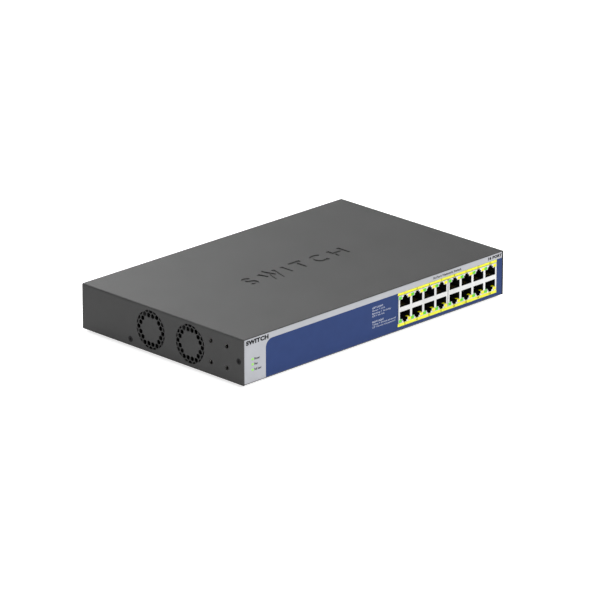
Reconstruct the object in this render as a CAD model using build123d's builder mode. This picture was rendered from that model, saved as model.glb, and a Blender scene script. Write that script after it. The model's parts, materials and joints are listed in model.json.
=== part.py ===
"""Desktop network switch: sheet-metal case, sixteen sockets, mains supply and two fans.

Frame: +X to the right seen from the front, front panel towards -Y, +Z up.
The origin is the centre of the footprint, on the surface that the feet stand on.
"""

from build123d import *
from math import cos, hypot, radians, sin
import os

os.makedirs("parts", exist_ok=True)

# ---------------------------------------------------------------- driving dimensions

CASE_W = 330.0
CASE_D = 206.0
CASE_H = 43.0
FOOT_H = 2.0
SHEET = 1.0
FIT = 0.1  # clearance between two sheet parts

LEFT_X = -CASE_W / 2
RIGHT_X = CASE_W / 2
FRONT_Y = -CASE_D / 2
REAR_Y = CASE_D / 2
UNDER_Z = FOOT_H
TOP_Z = FOOT_H + CASE_H
FLOOR_Z = UNDER_Z + SHEET
CEILING_Z = TOP_Z - SHEET

# The tray's end panels stand a little in from the cover's edges.
PANEL_FRONT_Y = FRONT_Y + 0.7
PANEL_REAR_Y = REAR_Y - SHEET - FIT
PANEL_TOP_Z = CEILING_Z - FIT
TRAY_HALF_W = CASE_W / 2 - SHEET - FIT
TRAY_BEND_R = 1.3
COVER_BEND_R = 1.4

# Side screws: distance behind the front edge and height above the underside.
COVER_SCREW_SPOTS = ((6.1, 21.65), (143.1, 6.5))
COVER_SCREW_R = 1.5
COVER_SCREW_HEAD_R = 2.9
COVER_SCREW_LENGTH = 6.0
REAR_SCREW_X = (-150.0, 0.0, 150.0)
REAR_SCREW_Z = TOP_Z - 4.5

# Rack-ear holes: a square of four on each side.
RACK_PITCH = 19.9
RACK_CENTRE_Y = FRONT_Y + 30.8
RACK_CENTRE_Z = UNDER_Z + 21.9
RACK_HOLE_R = 2.0

# Fans and their grilles.
FAN_CENTRES_Y = (FRONT_Y + 67.0, FRONT_Y + 117.0)
FAN_CENTRE_Z = UNDER_Z + 21.8
FAN_SIZE = 40.0
FAN_DEPTH = 20.0
FAN_SCREW_PITCH = 32.0
FAN_BORE_R = 18.9
FAN_TIP_R = 18.0
FAN_HUB_R = 10.5
FAN_BLADES = 7
FAN_SHAFT_R = 1.0
FAN_RUNNING_FIT = 0.04
BRACKET_X = LEFT_X + 2.4
FAN_X = BRACKET_X + SHEET

GRILLE_PITCH = 5.1
GRILLE_FLATS = 4.2
GRILLE_OUTER_R = 18.0
GRILLE_INNER_R = 13.2
GRILLE_LAST_R = 18.6

# Sockets: two blocks of two rows by four columns.
JACK_BLOCK_X = (60.0, 124.25)
JACK_BLOCK_W = 63.6
JACK_PITCH = 15.67
JACK_BOTTOM_Z = TOP_Z - 35.75
JACK_TOP_Z = TOP_Z - 9.5
JACK_MIDDLE_Z = TOP_Z - 22.75
JACK_ROW_OFFSET = 5.8
JACK_FRONT_Y = FRONT_Y + 0.1
JACK_DEPTH = 24.0
JACK_HOLE_W = 13.0
JACK_HOLE_H = 7.1
JACK_HOLE_DEPTH = 14.5
LATCH_STEPS = ((6.5, 1.9), (3.8, 1.5))  # width and height of each step of the latch notch
SHIELD_SHEET = 0.3
JACK_LED_X = 5.9
JACK_LED_W = 3.9
JACK_LED_H = 2.8
JACK_LED_OFFSET = 11.0
LED_DEPTH = 3.6
LED_RIDGE_H = 0.1  # how far a light guide stands into its socket
CONTACT_PITCH = 1.02
CONTACT_W = 0.45

# Front status lights.
STATUS_X = LEFT_X + 11.4
STATUS_Z = (TOP_Z - 20.75, TOP_Z - 25.5, TOP_Z - 30.5)
STATUS_W = 2.6
STATUS_H = 2.0
LABEL_T = 0.3

# Boards.
BOARD_T = 1.6
BOARD_TOP_Z = JACK_BOTTOM_Z
BOARD_Z = BOARD_TOP_Z - BOARD_T
MAIN_BOARD_X = (-136.0, 158.0)
MAIN_BOARD_Y = (-101.0, -8.0)
MAIN_ARM_X = -158.0
MAIN_ARM_Y = -68.0
POWER_BOARD_X = (-110.0, 40.0)
POWER_BOARD_Y = (8.0, 96.0)
MAIN_HOLES = (
    (-146.0, -74.0),
    (-128.0, -16.0),
    (4.0, -16.0),
    (150.0, -16.0),
    (10.0, -92.0),
    (150.0, -60.0),
    (-90.0, -92.0),
)
POWER_HOLES = ((-104.0, 14.0), (-104.0, 90.0), (34.0, 20.0), (34.0, 90.0))
STANDOFF_R = 3.0
BOARD_SCREW_R = 1.5
BOARD_HOLE_R = 1.6

# Mains inlet and the other rear features.
INLET_X = -137.0
INLET_Z = UNDER_Z + 21.0
INLET_W = 27.0
INLET_H = 20.0
INLET_SCREW_PITCH = 40.0
INLET_FLANGE_T = 2.5
INLET_BODY_DEPTH = 19.0
INLET_HOLE_W = 24.4
INLET_HOLE_H = 16.6
INLET_HOLE_DEPTH = 16.5
LOCK_X = 128.0
LOCK_Z = UNDER_Z + 14.0
GROUND_X = -80.0
GROUND_Z = UNDER_Z + 12.0
GROUND_R = 2.0

FOOT_R = 6.5
FOOT_X = 138.0
FOOT_Y = 80.0

THROUGH = 2.0  # reach of a cut each side of a sheet


# ---------------------------------------------------------------- working planes and shared shapes


def front_plane(y):
    """A plane facing -Y at the given y, with X to the right and Z up."""
    return Plane.XZ.offset(-y)


def side_plane(x, y=0.0, z=0.0):
    """A plane facing +X with its origin at the given point, with Y to the right and Z up."""
    return Plane(origin=(x, y, z), x_dir=(0, 1, 0), z_dir=(1, 0, 0))


def face_plane(origin, outward):
    """A plane on a face, facing outward, for fasteners that go in through it."""
    return Plane(origin=origin, z_dir=outward)


def jack_columns(block_x):
    """The x of the four socket columns of one block."""
    return [block_x + (column - 1.5) * JACK_PITCH for column in range(4)]


def honeycomb(columns, rows):
    """Centres of a honeycomb of holes, counted both ways from the middle."""
    row_step = GRILLE_PITCH * sin(radians(60))
    spots = []
    for row in range(-rows, rows + 1):
        shift = GRILLE_PITCH / 2 if row % 2 else 0.0
        for column in range(-columns, columns + 1):
            spots.append((column * GRILLE_PITCH + shift, row * row_step))
    return spots


def cover_screw_planes():
    """Where the countersunk side screws enter, on both sides."""
    planes = []
    for x, outward in ((LEFT_X, (-1, 0, 0)), (RIGHT_X, (1, 0, 0))):
        for back, up in COVER_SCREW_SPOTS:
            planes.append(face_plane((x, FRONT_Y + back, UNDER_Z + up), outward))
    return planes


def rear_screw_planes():
    """Where the countersunk screws enter the cover's rear lip."""
    return [face_plane((x, REAR_Y, REAR_SCREW_Z), (0, 1, 0)) for x in REAR_SCREW_X]


def rack_planes():
    """The rack-ear holes on both sides, on the cover's outer face."""
    planes = []
    for x, outward in ((LEFT_X, (-1, 0, 0)), (RIGHT_X, (1, 0, 0))):
        for dy in (-RACK_PITCH / 2, RACK_PITCH / 2):
            for dz in (-RACK_PITCH / 2, RACK_PITCH / 2):
                planes.append(face_plane((x, RACK_CENTRE_Y + dy, RACK_CENTRE_Z + dz), outward))
    return planes


def countersunk_screw(shank_r, head_r, head_h, length):
    """A countersunk screw with a cross recess, its head flush with the plane z = 0."""
    with BuildPart() as screw:
        with BuildSketch(Plane.XZ):
            with BuildLine():
                Polyline(
                    (0, 0),
                    (head_r, 0),
                    (head_r - head_h, -head_h),
                    (shank_r, -head_h),
                    (shank_r, -length),
                    (0, -length),
                    close=True,
                )
            make_face()
        revolve(axis=Axis.Z)
        with BuildSketch():
            Rectangle(head_r * 1.1, head_r * 0.25)
            Rectangle(head_r * 0.25, head_r * 1.1)
        extrude(amount=-head_h * 0.8, mode=Mode.SUBTRACT)
    return screw.part


def pan_screw(shank_r, head_r, head_h, length):
    """A pan-head screw with a cross recess, its head standing on the plane z = 0."""
    with BuildPart() as screw:
        Cylinder(head_r, head_h, align=(Align.CENTER, Align.CENTER, Align.MIN))
        fillet(screw.edges().group_by(Axis.Z)[-1], head_h * 0.45)
        Cylinder(shank_r, length, align=(Align.CENTER, Align.CENTER, Align.MAX))
        with BuildSketch(Plane.XY.offset(head_h)):
            Rectangle(head_r * 1.1, head_r * 0.28)
            Rectangle(head_r * 0.28, head_r * 1.1)
        extrude(amount=-head_h * 0.6, mode=Mode.SUBTRACT)
    return screw.part


# ---------------------------------------------------------------- base tray

FRONT_RETURN = 8.0
SIDE_FLANGE_H = 10.5
SIDE_FLANGE_Y = (FRONT_Y + 50.0, FRONT_Y + 198.0)
END_FLANGE_D = 12.0
FLANGE_X = TRAY_HALF_W - SHEET / 2
JACK_WINDOW_GAP = 0.2
JACK_WINDOW_X = (
    JACK_BLOCK_X[0] - JACK_BLOCK_W / 2 - JACK_WINDOW_GAP,
    JACK_BLOCK_X[1] + JACK_BLOCK_W / 2 + JACK_WINDOW_GAP,
)
JACK_WINDOW_W = JACK_WINDOW_X[1] - JACK_WINDOW_X[0]
JACK_WINDOW_CENTRE = (sum(JACK_WINDOW_X) / 2, (JACK_BOTTOM_Z + JACK_TOP_Z) / 2)
JACK_WINDOW_H = JACK_TOP_Z - JACK_BOTTOM_Z + 2 * JACK_WINDOW_GAP

with BuildPart() as base_tray:
    with BuildSketch(side_plane(-TRAY_HALF_W)):
        with BuildLine():
            FilletPolyline(
                (PANEL_FRONT_Y + FRONT_RETURN, PANEL_TOP_Z),
                (PANEL_FRONT_Y, PANEL_TOP_Z),
                (PANEL_FRONT_Y, UNDER_Z),
                (PANEL_REAR_Y, UNDER_Z),
                (PANEL_REAR_Y, PANEL_TOP_Z),
                radius=TRAY_BEND_R,
            )
            offset(amount=SHEET, side=Side.LEFT)
        make_face()
    extrude(amount=2 * TRAY_HALF_W)
    # Flanges turned up along the floor's sides and back from the end panels.
    floor_flange_d = SIDE_FLANGE_Y[1] - SIDE_FLANGE_Y[0]
    floor_flange_y = sum(SIDE_FLANGE_Y) / 2
    end_flange_h = PANEL_TOP_Z - FLOOR_Z - 5.0
    end_flange_z = FLOOR_Z + 3.0 + end_flange_h / 2
    for x in (-FLANGE_X, FLANGE_X):
        with Locations((x, floor_flange_y, UNDER_Z + SIDE_FLANGE_H / 2)):
            Box(SHEET, floor_flange_d, SIDE_FLANGE_H)
        with Locations((x, PANEL_FRONT_Y + END_FLANGE_D / 2, end_flange_z)):
            Box(SHEET, END_FLANGE_D, end_flange_h)
        with Locations((x, PANEL_REAR_Y - 3.5, end_flange_z)):
            Box(SHEET, 7.0, end_flange_h)
    # Front: one window for both socket blocks and three for the status lights.
    with BuildSketch(front_plane(PANEL_FRONT_Y)):
        with Locations(JACK_WINDOW_CENTRE):
            Rectangle(JACK_WINDOW_W, JACK_WINDOW_H)
        with Locations(*[(STATUS_X, z) for z in STATUS_Z]):
            Rectangle(STATUS_W + 0.2, STATUS_H + 0.2)
    extrude(amount=THROUGH, both=True, mode=Mode.SUBTRACT)
    # Rear: inlet, its screws, the lock slot, the earth screw and the cover screws.
    with BuildSketch(front_plane(PANEL_REAR_Y)):
        with Locations((INLET_X, INLET_Z)):
            Rectangle(INLET_W + 0.4, INLET_H + 0.4)
        with Locations((LOCK_X, LOCK_Z)):
            SlotOverall(7.0, 3.0)
        with Locations((GROUND_X, GROUND_Z)):
            Circle(GROUND_R)
        with Locations(*[(x, REAR_SCREW_Z) for x in REAR_SCREW_X]):
            Circle(COVER_SCREW_R)
    extrude(amount=THROUGH, both=True, mode=Mode.SUBTRACT)
    inlet_screw_planes = [
        face_plane((INLET_X + side * INLET_SCREW_PITCH / 2, PANEL_REAR_Y, INLET_Z), (0, 1, 0))
        for side in (-1, 1)
    ]
    with Locations(*inlet_screw_planes):
        CounterSinkHole(BOARD_HOLE_R, BOARD_HOLE_R + SHEET, depth=THROUGH, counter_sink_angle=90)
    # Threaded holes for the side screws, through the flanges.
    for back, up in COVER_SCREW_SPOTS:
        with BuildSketch(side_plane(-TRAY_HALF_W, FRONT_Y + back, UNDER_Z + up)):
            Circle(COVER_SCREW_R)
        extrude(amount=2 * TRAY_HALF_W, mode=Mode.SUBTRACT)
    # The left flange is cut away behind the fan grilles.
    with BuildSketch(side_plane(-TRAY_HALF_W)):
        with Locations(*[(y, FAN_CENTRE_Z) for y in FAN_CENTRES_Y]):
            Circle(GRILLE_LAST_R)
    extrude(amount=THROUGH, mode=Mode.SUBTRACT)
base_tray.part.label = "base_tray"
export_step(base_tray.part, "parts/base_tray.step")

# ---------------------------------------------------------------- top cover

COVER_BOTTOM_Z = UNDER_Z + 0.3
REAR_LIP_H = 9.0
MARK_HEIGHT = 18.5
MARK_STROKE = 3.5
MARK_DEPTH = 0.9
MARK_WALL = 0.8
MARK_CENTRE_Y = 0.0
RIGHT_VENT_Y = FRONT_Y + 118.0
RIGHT_VENT_COLUMNS = 11
RIGHT_VENT_ROWS = 2

# Width of each letter and the gap between letters, as fractions of the letters' height.
LETTER_WIDTHS = {"S": 0.85, "W": 1.25, "I": 0.0, "T": 0.95, "C": 0.95, "H": 0.9}
LETTER_GAP = 0.68


def letter_paths(letter, h, x):
    """Centre lines of one plain capital of height h, with its left edge at x and its middle at y = 0."""
    width = LETTER_WIDTHS[letter] * h
    low = -h / 2
    top = h / 2
    if letter == "S":
        bowl_r = h / 4
        middle = x + width / 2
        return [
            CenterArc((middle, bowl_r), bowl_r, 20, 250),
            CenterArc((middle, -bowl_r), bowl_r, 90, -250),
        ]
    if letter == "W":
        steps = [(x + width * i / 4, low if i % 2 else top) for i in range(5)]
        return [Polyline(*steps)]
    if letter == "I":
        return [Line((x, low), (x, top))]
    if letter == "T":
        return [Line((x, top), (x + width, top)), Line((x + width / 2, top), (x + width / 2, low))]
    if letter == "C":
        return [CenterArc((x + h / 2, 0), h / 2, 48, 264)]
    return [
        Line((x, low), (x, top)),
        Line((x + width, low), (x + width, top)),
        Line((x, 0), (x + width, 0)),
    ]


def word_outline(word, height, stroke):
    """A plain word drawn with one stroke width, centred on the origin."""
    body = height - stroke
    space = LETTER_GAP * body
    total = sum(LETTER_WIDTHS[letter] * body for letter in word) + space * (len(word) - 1)
    x = -total / 2
    paths = []
    for letter in word:
        paths += letter_paths(letter, body, x)
        x += LETTER_WIDTHS[letter] * body + space
    with BuildSketch() as outline:
        for path in paths:
            trace(path, line_width=stroke)
    return outline.sketch


mark = word_outline("SWITCH", MARK_HEIGHT, MARK_STROKE)
mark_back = word_outline("SWITCH", MARK_HEIGHT + 2 * MARK_WALL, MARK_STROKE + 2 * MARK_WALL)

with BuildPart() as top_cover:
    with BuildSketch(front_plane(REAR_Y)):
        with BuildLine():
            FilletPolyline(
                (LEFT_X, COVER_BOTTOM_Z),
                (LEFT_X, TOP_Z),
                (RIGHT_X, TOP_Z),
                (RIGHT_X, COVER_BOTTOM_Z),
                radius=COVER_BEND_R,
            )
            offset(amount=SHEET, side=Side.RIGHT)
        make_face()
    extrude(amount=CASE_D)
    # Rear lip, turned down outside the tray's rear panel.
    with Locations((0, REAR_Y - SHEET / 2, TOP_Z - REAR_LIP_H / 2)):
        Box(CASE_W - 2 * COVER_BEND_R, SHEET, REAR_LIP_H)
    fillet(top_cover.edges().filter_by(Axis.X).group_by(Axis.Y)[-1].sort_by(Axis.Z)[-1], 0.8)
    # Fan grilles: a ring of honeycomb holes round a plain middle.
    for centre_y in FAN_CENTRES_Y:
        with BuildSketch(side_plane(LEFT_X, centre_y, FAN_CENTRE_Z)):
            ring = [s for s in honeycomb(4, 4) if GRILLE_INNER_R < hypot(*s) < GRILLE_LAST_R]
            with Locations(*ring):
                RegularPolygon(GRILLE_FLATS / 2, 6, major_radius=False, rotation=30)
            Circle(GRILLE_OUTER_R, mode=Mode.INTERSECT)
        extrude(amount=THROUGH, both=True, mode=Mode.SUBTRACT)
    # Air inlet on the other side.
    with BuildSketch(side_plane(RIGHT_X, RIGHT_VENT_Y, FAN_CENTRE_Z)):
        with Locations(*honeycomb(RIGHT_VENT_COLUMNS, RIGHT_VENT_ROWS)):
            RegularPolygon(GRILLE_FLATS / 2, 6, major_radius=False, rotation=30)
    extrude(amount=THROUGH, both=True, mode=Mode.SUBTRACT)
    with Locations(*rack_planes()):
        Hole(RACK_HOLE_R, depth=THROUGH)
    with Locations(*cover_screw_planes(), *rear_screw_planes()):
        CounterSinkHole(
            COVER_SCREW_HEAD_R - SHEET, COVER_SCREW_HEAD_R, depth=THROUGH, counter_sink_angle=90
        )
    # Lettering pressed down into the middle of the lid.
    with BuildSketch(Plane.XY.offset(CEILING_Z)):
        with Locations((0, MARK_CENTRE_Y)):
            add(mark_back)
    extrude(amount=-MARK_DEPTH)
    with BuildSketch(Plane.XY.offset(TOP_Z)):
        with Locations((0, MARK_CENTRE_Y)):
            add(mark)
    extrude(amount=-MARK_DEPTH, mode=Mode.SUBTRACT)
top_cover.part.label = "top_cover"
export_step(top_cover.part, "parts/top_cover.step")

# ---------------------------------------------------------------- front label

LABEL_X = (LEFT_X + 1.4, RIGHT_X - 1.4)
LABEL_Z = (UNDER_Z + 1.3, PANEL_TOP_Z - 0.1)

with BuildPart() as front_label:
    with BuildSketch(front_plane(PANEL_FRONT_Y)):
        with Locations((sum(LABEL_X) / 2, sum(LABEL_Z) / 2)):
            RectangleRounded(LABEL_X[1] - LABEL_X[0], LABEL_Z[1] - LABEL_Z[0], 0.8)
        with Locations(JACK_WINDOW_CENTRE):
            Rectangle(JACK_WINDOW_W, JACK_WINDOW_H, mode=Mode.SUBTRACT)
        with Locations(*[(STATUS_X, z) for z in STATUS_Z]):
            Rectangle(STATUS_W + 0.2, STATUS_H + 0.2, mode=Mode.SUBTRACT)
    extrude(amount=LABEL_T)
front_label.part.label = "front_label"
export_step(front_label.part, "parts/front_label.step")

# ---------------------------------------------------------------- feet and case fasteners

with BuildPart() as rubber_feet:
    with GridLocations(2 * FOOT_X, 2 * FOOT_Y, 2, 2):
        Cylinder(FOOT_R, FOOT_H, align=(Align.CENTER, Align.CENTER, Align.MIN))
    fillet(rubber_feet.edges().filter_by(GeomType.CIRCLE).group_by(Axis.Z)[0], 0.8)
rubber_feet.part.label = "rubber_feet"
export_step(rubber_feet.part, "parts/rubber_feet.step")

case_screw = countersunk_screw(COVER_SCREW_R, COVER_SCREW_HEAD_R, SHEET, COVER_SCREW_LENGTH)
with BuildPart() as cover_screws:
    with Locations(*cover_screw_planes(), *rear_screw_planes()):
        add(case_screw)
cover_screws.part.label = "cover_screws"
export_step(cover_screws.part, "parts/cover_screws.step")

RACK_NUT_R = 3.4
RACK_NUT_H = 2.2

with BuildPart() as rack_nuts:
    for plane in rack_planes():
        with BuildSketch(plane.offset(-SHEET)):
            RegularPolygon(RACK_NUT_R, 6)
            Circle(RACK_HOLE_R, mode=Mode.SUBTRACT)
        extrude(amount=-RACK_NUT_H)
rack_nuts.part.label = "rack_nuts"
export_step(rack_nuts.part, "parts/rack_nuts.step")

GROUND_HEAD_R = 3.8
GROUND_HEAD_H = 1.0
GROUND_LENGTH = 6.0

ground_plane = face_plane((GROUND_X, PANEL_REAR_Y, GROUND_Z), (0, 1, 0))
earth_screw = pan_screw(GROUND_R, GROUND_HEAD_R, GROUND_HEAD_H, GROUND_LENGTH)
with BuildPart() as ground_screw:
    with Locations(ground_plane):
        add(earth_screw)
ground_screw.part.label = "ground_screw"
export_step(ground_screw.part, "parts/ground_screw.step")

# ---------------------------------------------------------------- socket blocks


def jack_openings(block_x):
    """The eight stepped socket openings of a block, latches outward."""
    columns = jack_columns(block_x)
    with BuildSketch() as openings:
        for up in (-1, 1):
            with Locations(*[(x, JACK_MIDDLE_Z + up * JACK_ROW_OFFSET) for x in columns]):
                Rectangle(JACK_HOLE_W, JACK_HOLE_H)
            edge_z = JACK_ROW_OFFSET + JACK_HOLE_H / 2
            for step_w, step_h in LATCH_STEPS:
                with Locations(*[(x, JACK_MIDDLE_Z + up * (edge_z + step_h / 2)) for x in columns]):
                    Rectangle(step_w, step_h)
                edge_z += step_h
    return openings.sketch


def jack_lights(block_x, side, ridge_h, fit):
    """The lights on one side of every socket of a block, each reaching ridge_h towards its socket."""
    height = JACK_LED_H + ridge_h
    with BuildSketch() as lights:
        for up in (-1, 1):
            centre_z = JACK_MIDDLE_Z + up * (JACK_LED_OFFSET - ridge_h / 2)
            with Locations(*[(x + side * JACK_LED_X, centre_z) for x in jack_columns(block_x)]):
                Rectangle(JACK_LED_W - 2 * fit, height - 2 * fit)
    return lights.sketch


def jack_shield(block_x):
    """The folded metal shell round one block, open underneath."""
    openings = jack_openings(block_x)
    windows = [jack_lights(block_x, side, 0.0, 0.0) for side in (-1, 1)]
    height = JACK_TOP_Z - JACK_BOTTOM_Z
    with BuildPart() as shield:
        with BuildSketch(front_plane(JACK_FRONT_Y)):
            with Locations((block_x, (JACK_TOP_Z + JACK_BOTTOM_Z) / 2)):
                Rectangle(JACK_BLOCK_W, height)
        extrude(amount=-JACK_DEPTH)
        fillet(shield.edges().filter_by(Axis.Y).group_by(Axis.Z)[-1], 0.5)
        with BuildSketch(front_plane(JACK_FRONT_Y + SHIELD_SHEET)):
            with Locations((block_x, (JACK_TOP_Z + JACK_BOTTOM_Z) / 2 - SHIELD_SHEET)):
                Rectangle(JACK_BLOCK_W - 2 * SHIELD_SHEET, height)
        extrude(amount=-(JACK_DEPTH - 2 * SHIELD_SHEET), mode=Mode.SUBTRACT)
        with BuildSketch(front_plane(JACK_FRONT_Y)):
            add(openings)
            add(windows)
        extrude(amount=-2 * SHIELD_SHEET, mode=Mode.SUBTRACT)
    return shield.part


HOUSING_FIT = 0.05
LED_REACH_H = JACK_LED_OFFSET - JACK_LED_H / 2 - JACK_ROW_OFFSET - JACK_HOLE_H / 2 + LED_RIDGE_H


def jack_housing(block_x):
    """The moulded insert of one block, with a cavity for every plug and pockets for the lights."""
    openings = jack_openings(block_x)
    pockets = [jack_lights(block_x, side, LED_REACH_H, 0.0) for side in (-1, 1)]
    inner_w = JACK_BLOCK_W - 2 * (SHIELD_SHEET + HOUSING_FIT)
    top_z = JACK_TOP_Z - SHIELD_SHEET - HOUSING_FIT
    front_y = JACK_FRONT_Y + SHIELD_SHEET + HOUSING_FIT
    depth = JACK_DEPTH - 2 * (SHIELD_SHEET + HOUSING_FIT)
    with BuildPart() as housing:
        with BuildSketch(front_plane(front_y)):
            with Locations((block_x, (top_z + JACK_BOTTOM_Z) / 2)):
                Rectangle(inner_w, top_z - JACK_BOTTOM_Z)
        extrude(amount=-depth)
        with BuildSketch(front_plane(JACK_FRONT_Y)):
            add(openings)
        extrude(amount=-JACK_HOLE_DEPTH, mode=Mode.SUBTRACT)
        with BuildSketch(front_plane(JACK_FRONT_Y)):
            add(pockets)
        extrude(amount=-LED_DEPTH, mode=Mode.SUBTRACT)
    return housing.part


CONTACT_T = 0.3
CONTACT_RISE = 2.2
CONTACT_START = 3.5


def jack_contacts(block_x):
    """Eight sprung contacts in every socket of a block, opposite the latch."""
    back_y = JACK_FRONT_Y + JACK_HOLE_DEPTH
    start_y = JACK_FRONT_Y + CONTACT_START
    columns = jack_columns(block_x)
    bars = [(x + (i - 3.5) * CONTACT_PITCH, (start_y + back_y) / 2) for x in columns for i in range(8)]
    with BuildPart() as contacts:
        with BuildSketch(side_plane(block_x - JACK_BLOCK_W / 2)):
            for up in (-1, 1):
                wall_z = JACK_MIDDLE_Z + up * (JACK_ROW_OFFSET - JACK_HOLE_H / 2)
                with BuildLine():
                    Polyline(
                        (start_y, wall_z),
                        (start_y, wall_z + up * CONTACT_T),
                        (back_y, wall_z + up * (CONTACT_RISE + CONTACT_T)),
                        (back_y, wall_z + up * CONTACT_RISE),
                        close=True,
                    )
                make_face()
        extrude(amount=JACK_BLOCK_W)
        with BuildSketch(Plane.XY.offset(JACK_BOTTOM_Z)):
            with Locations(*bars):
                Rectangle(CONTACT_W, back_y - start_y + 1.0)
        extrude(amount=JACK_TOP_Z - JACK_BOTTOM_Z, mode=Mode.INTERSECT)
    return contacts.part


with BuildPart() as rj45_shield_left:
    add(jack_shield(JACK_BLOCK_X[0]))
rj45_shield_left.part.label = "rj45_shield_left"
export_step(rj45_shield_left.part, "parts/rj45_shield_left.step")

with BuildPart() as rj45_shield_right:
    add(jack_shield(JACK_BLOCK_X[1]))
rj45_shield_right.part.label = "rj45_shield_right"
export_step(rj45_shield_right.part, "parts/rj45_shield_right.step")

with BuildPart() as rj45_housing_left:
    add(jack_housing(JACK_BLOCK_X[0]))
rj45_housing_left.part.label = "rj45_housing_left"
export_step(rj45_housing_left.part, "parts/rj45_housing_left.step")

with BuildPart() as rj45_housing_right:
    add(jack_housing(JACK_BLOCK_X[1]))
rj45_housing_right.part.label = "rj45_housing_right"
export_step(rj45_housing_right.part, "parts/rj45_housing_right.step")

with BuildPart() as rj45_contacts_left:
    add(jack_contacts(JACK_BLOCK_X[0]))
rj45_contacts_left.part.label = "rj45_contacts_left"
export_step(rj45_contacts_left.part, "parts/rj45_contacts_left.step")

with BuildPart() as rj45_contacts_right:
    add(jack_contacts(JACK_BLOCK_X[1]))
rj45_contacts_right.part.label = "rj45_contacts_right"
export_step(rj45_contacts_right.part, "parts/rj45_contacts_right.step")

LED_FIT = 0.05



def jack_light_guides(side):
    """The light guides on one side of every socket: a window in the shield and a taller body behind."""
    faces = [jack_lights(x, side, 0.0, LED_FIT) for x in JACK_BLOCK_X]
    bodies = [jack_lights(x, side, LED_REACH_H, LED_FIT) for x in JACK_BLOCK_X]
    with BuildPart() as guides:
        with BuildSketch(front_plane(JACK_FRONT_Y)):
            add(faces)
        extrude(amount=-LED_DEPTH)
        with BuildSketch(front_plane(JACK_FRONT_Y + SHIELD_SHEET + LED_FIT)):
            add(bodies)
        extrude(amount=-(LED_DEPTH - SHIELD_SHEET - LED_FIT))
    return guides.part


with BuildPart() as port_leds_green:
    add(jack_light_guides(-1))
port_leds_green.part.label = "port_leds_green"
export_step(port_leds_green.part, "parts/port_leds_green.step")

with BuildPart() as port_leds_yellow:
    add(jack_light_guides(1))
port_leds_yellow.part.label = "port_leds_yellow"
export_step(port_leds_yellow.part, "parts/port_leds_yellow.step")

# ---------------------------------------------------------------- status lights

HOLDER_W = 6.4
HOLDER_Y = (-101.2, -95.5)
STATUS_LED_END_Y = -97.0

with BuildPart() as status_leds:
    with BuildSketch(front_plane(PANEL_FRONT_Y - LABEL_T)):
        with Locations(*[(STATUS_X, z) for z in STATUS_Z]):
            RectangleRounded(STATUS_W, STATUS_H, 0.3)
    extrude(amount=-(STATUS_LED_END_Y - PANEL_FRONT_Y + LABEL_T))
status_leds.part.label = "status_leds"
export_step(status_leds.part, "parts/status_leds.step")

with BuildPart() as led_holder:
    with BuildSketch(front_plane(HOLDER_Y[1])):
        with Locations((STATUS_X, BOARD_TOP_Z)):
            Rectangle(HOLDER_W, STATUS_Z[0] + 3.0 - BOARD_TOP_Z, align=(Align.CENTER, Align.MIN))
    extrude(amount=HOLDER_Y[1] - HOLDER_Y[0])
    with BuildSketch(front_plane(HOLDER_Y[0])):
        with Locations(*[(STATUS_X, z) for z in STATUS_Z]):
            Rectangle(STATUS_W, STATUS_H)
    extrude(amount=-(STATUS_LED_END_Y - HOLDER_Y[0]), mode=Mode.SUBTRACT)
led_holder.part.label = "led_holder"
export_step(led_holder.part, "parts/led_holder.step")

# ---------------------------------------------------------------- boards and their fasteners

with BuildPart() as main_board:
    with BuildSketch(Plane.XY.offset(BOARD_Z)):
        with BuildLine():
            Polyline(
                (MAIN_ARM_X, MAIN_BOARD_Y[0]),
                (MAIN_BOARD_X[1], MAIN_BOARD_Y[0]),
                (MAIN_BOARD_X[1], MAIN_BOARD_Y[1]),
                (MAIN_BOARD_X[0], MAIN_BOARD_Y[1]),
                (MAIN_BOARD_X[0], MAIN_ARM_Y),
                (MAIN_ARM_X, MAIN_ARM_Y),
                close=True,
            )
        make_face()
        with Locations(*MAIN_HOLES):
            Circle(BOARD_HOLE_R, mode=Mode.SUBTRACT)
    extrude(amount=BOARD_T)
main_board.part.label = "main_board"
export_step(main_board.part, "parts/main_board.step")

POWER_BOARD_CENTRE = (sum(POWER_BOARD_X) / 2, sum(POWER_BOARD_Y) / 2)
POWER_BOARD_SIZE = (POWER_BOARD_X[1] - POWER_BOARD_X[0], POWER_BOARD_Y[1] - POWER_BOARD_Y[0])

with BuildPart() as power_board:
    with BuildSketch(Plane.XY.offset(BOARD_Z)):
        with Locations(POWER_BOARD_CENTRE):
            Rectangle(*POWER_BOARD_SIZE)
        with Locations(*POWER_HOLES):
            Circle(BOARD_HOLE_R, mode=Mode.SUBTRACT)
    extrude(amount=BOARD_T)
power_board.part.label = "power_board"
export_step(power_board.part, "parts/power_board.step")

INSULATION_T = 0.3
INSULATION_MARGIN = 2.0

with BuildPart() as insulation_sheet:
    with BuildSketch(Plane.XY.offset(FLOOR_Z)):
        with Locations(POWER_BOARD_CENTRE):
            Rectangle(
                POWER_BOARD_SIZE[0] + 2 * INSULATION_MARGIN, POWER_BOARD_SIZE[1] + 2 * INSULATION_MARGIN
            )
        with Locations(*POWER_HOLES):
            Circle(STANDOFF_R + 0.3, mode=Mode.SUBTRACT)
    extrude(amount=INSULATION_T)
insulation_sheet.part.label = "insulation_sheet"
export_step(insulation_sheet.part, "parts/insulation_sheet.step")

with BuildPart() as board_standoffs:
    with BuildSketch(Plane.XY.offset(FLOOR_Z)):
        with Locations(*MAIN_HOLES, *POWER_HOLES):
            Circle(STANDOFF_R)
            Circle(BOARD_SCREW_R, mode=Mode.SUBTRACT)
    extrude(amount=BOARD_Z - FLOOR_Z)
board_standoffs.part.label = "board_standoffs"
export_step(board_standoffs.part, "parts/board_standoffs.step")

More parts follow.
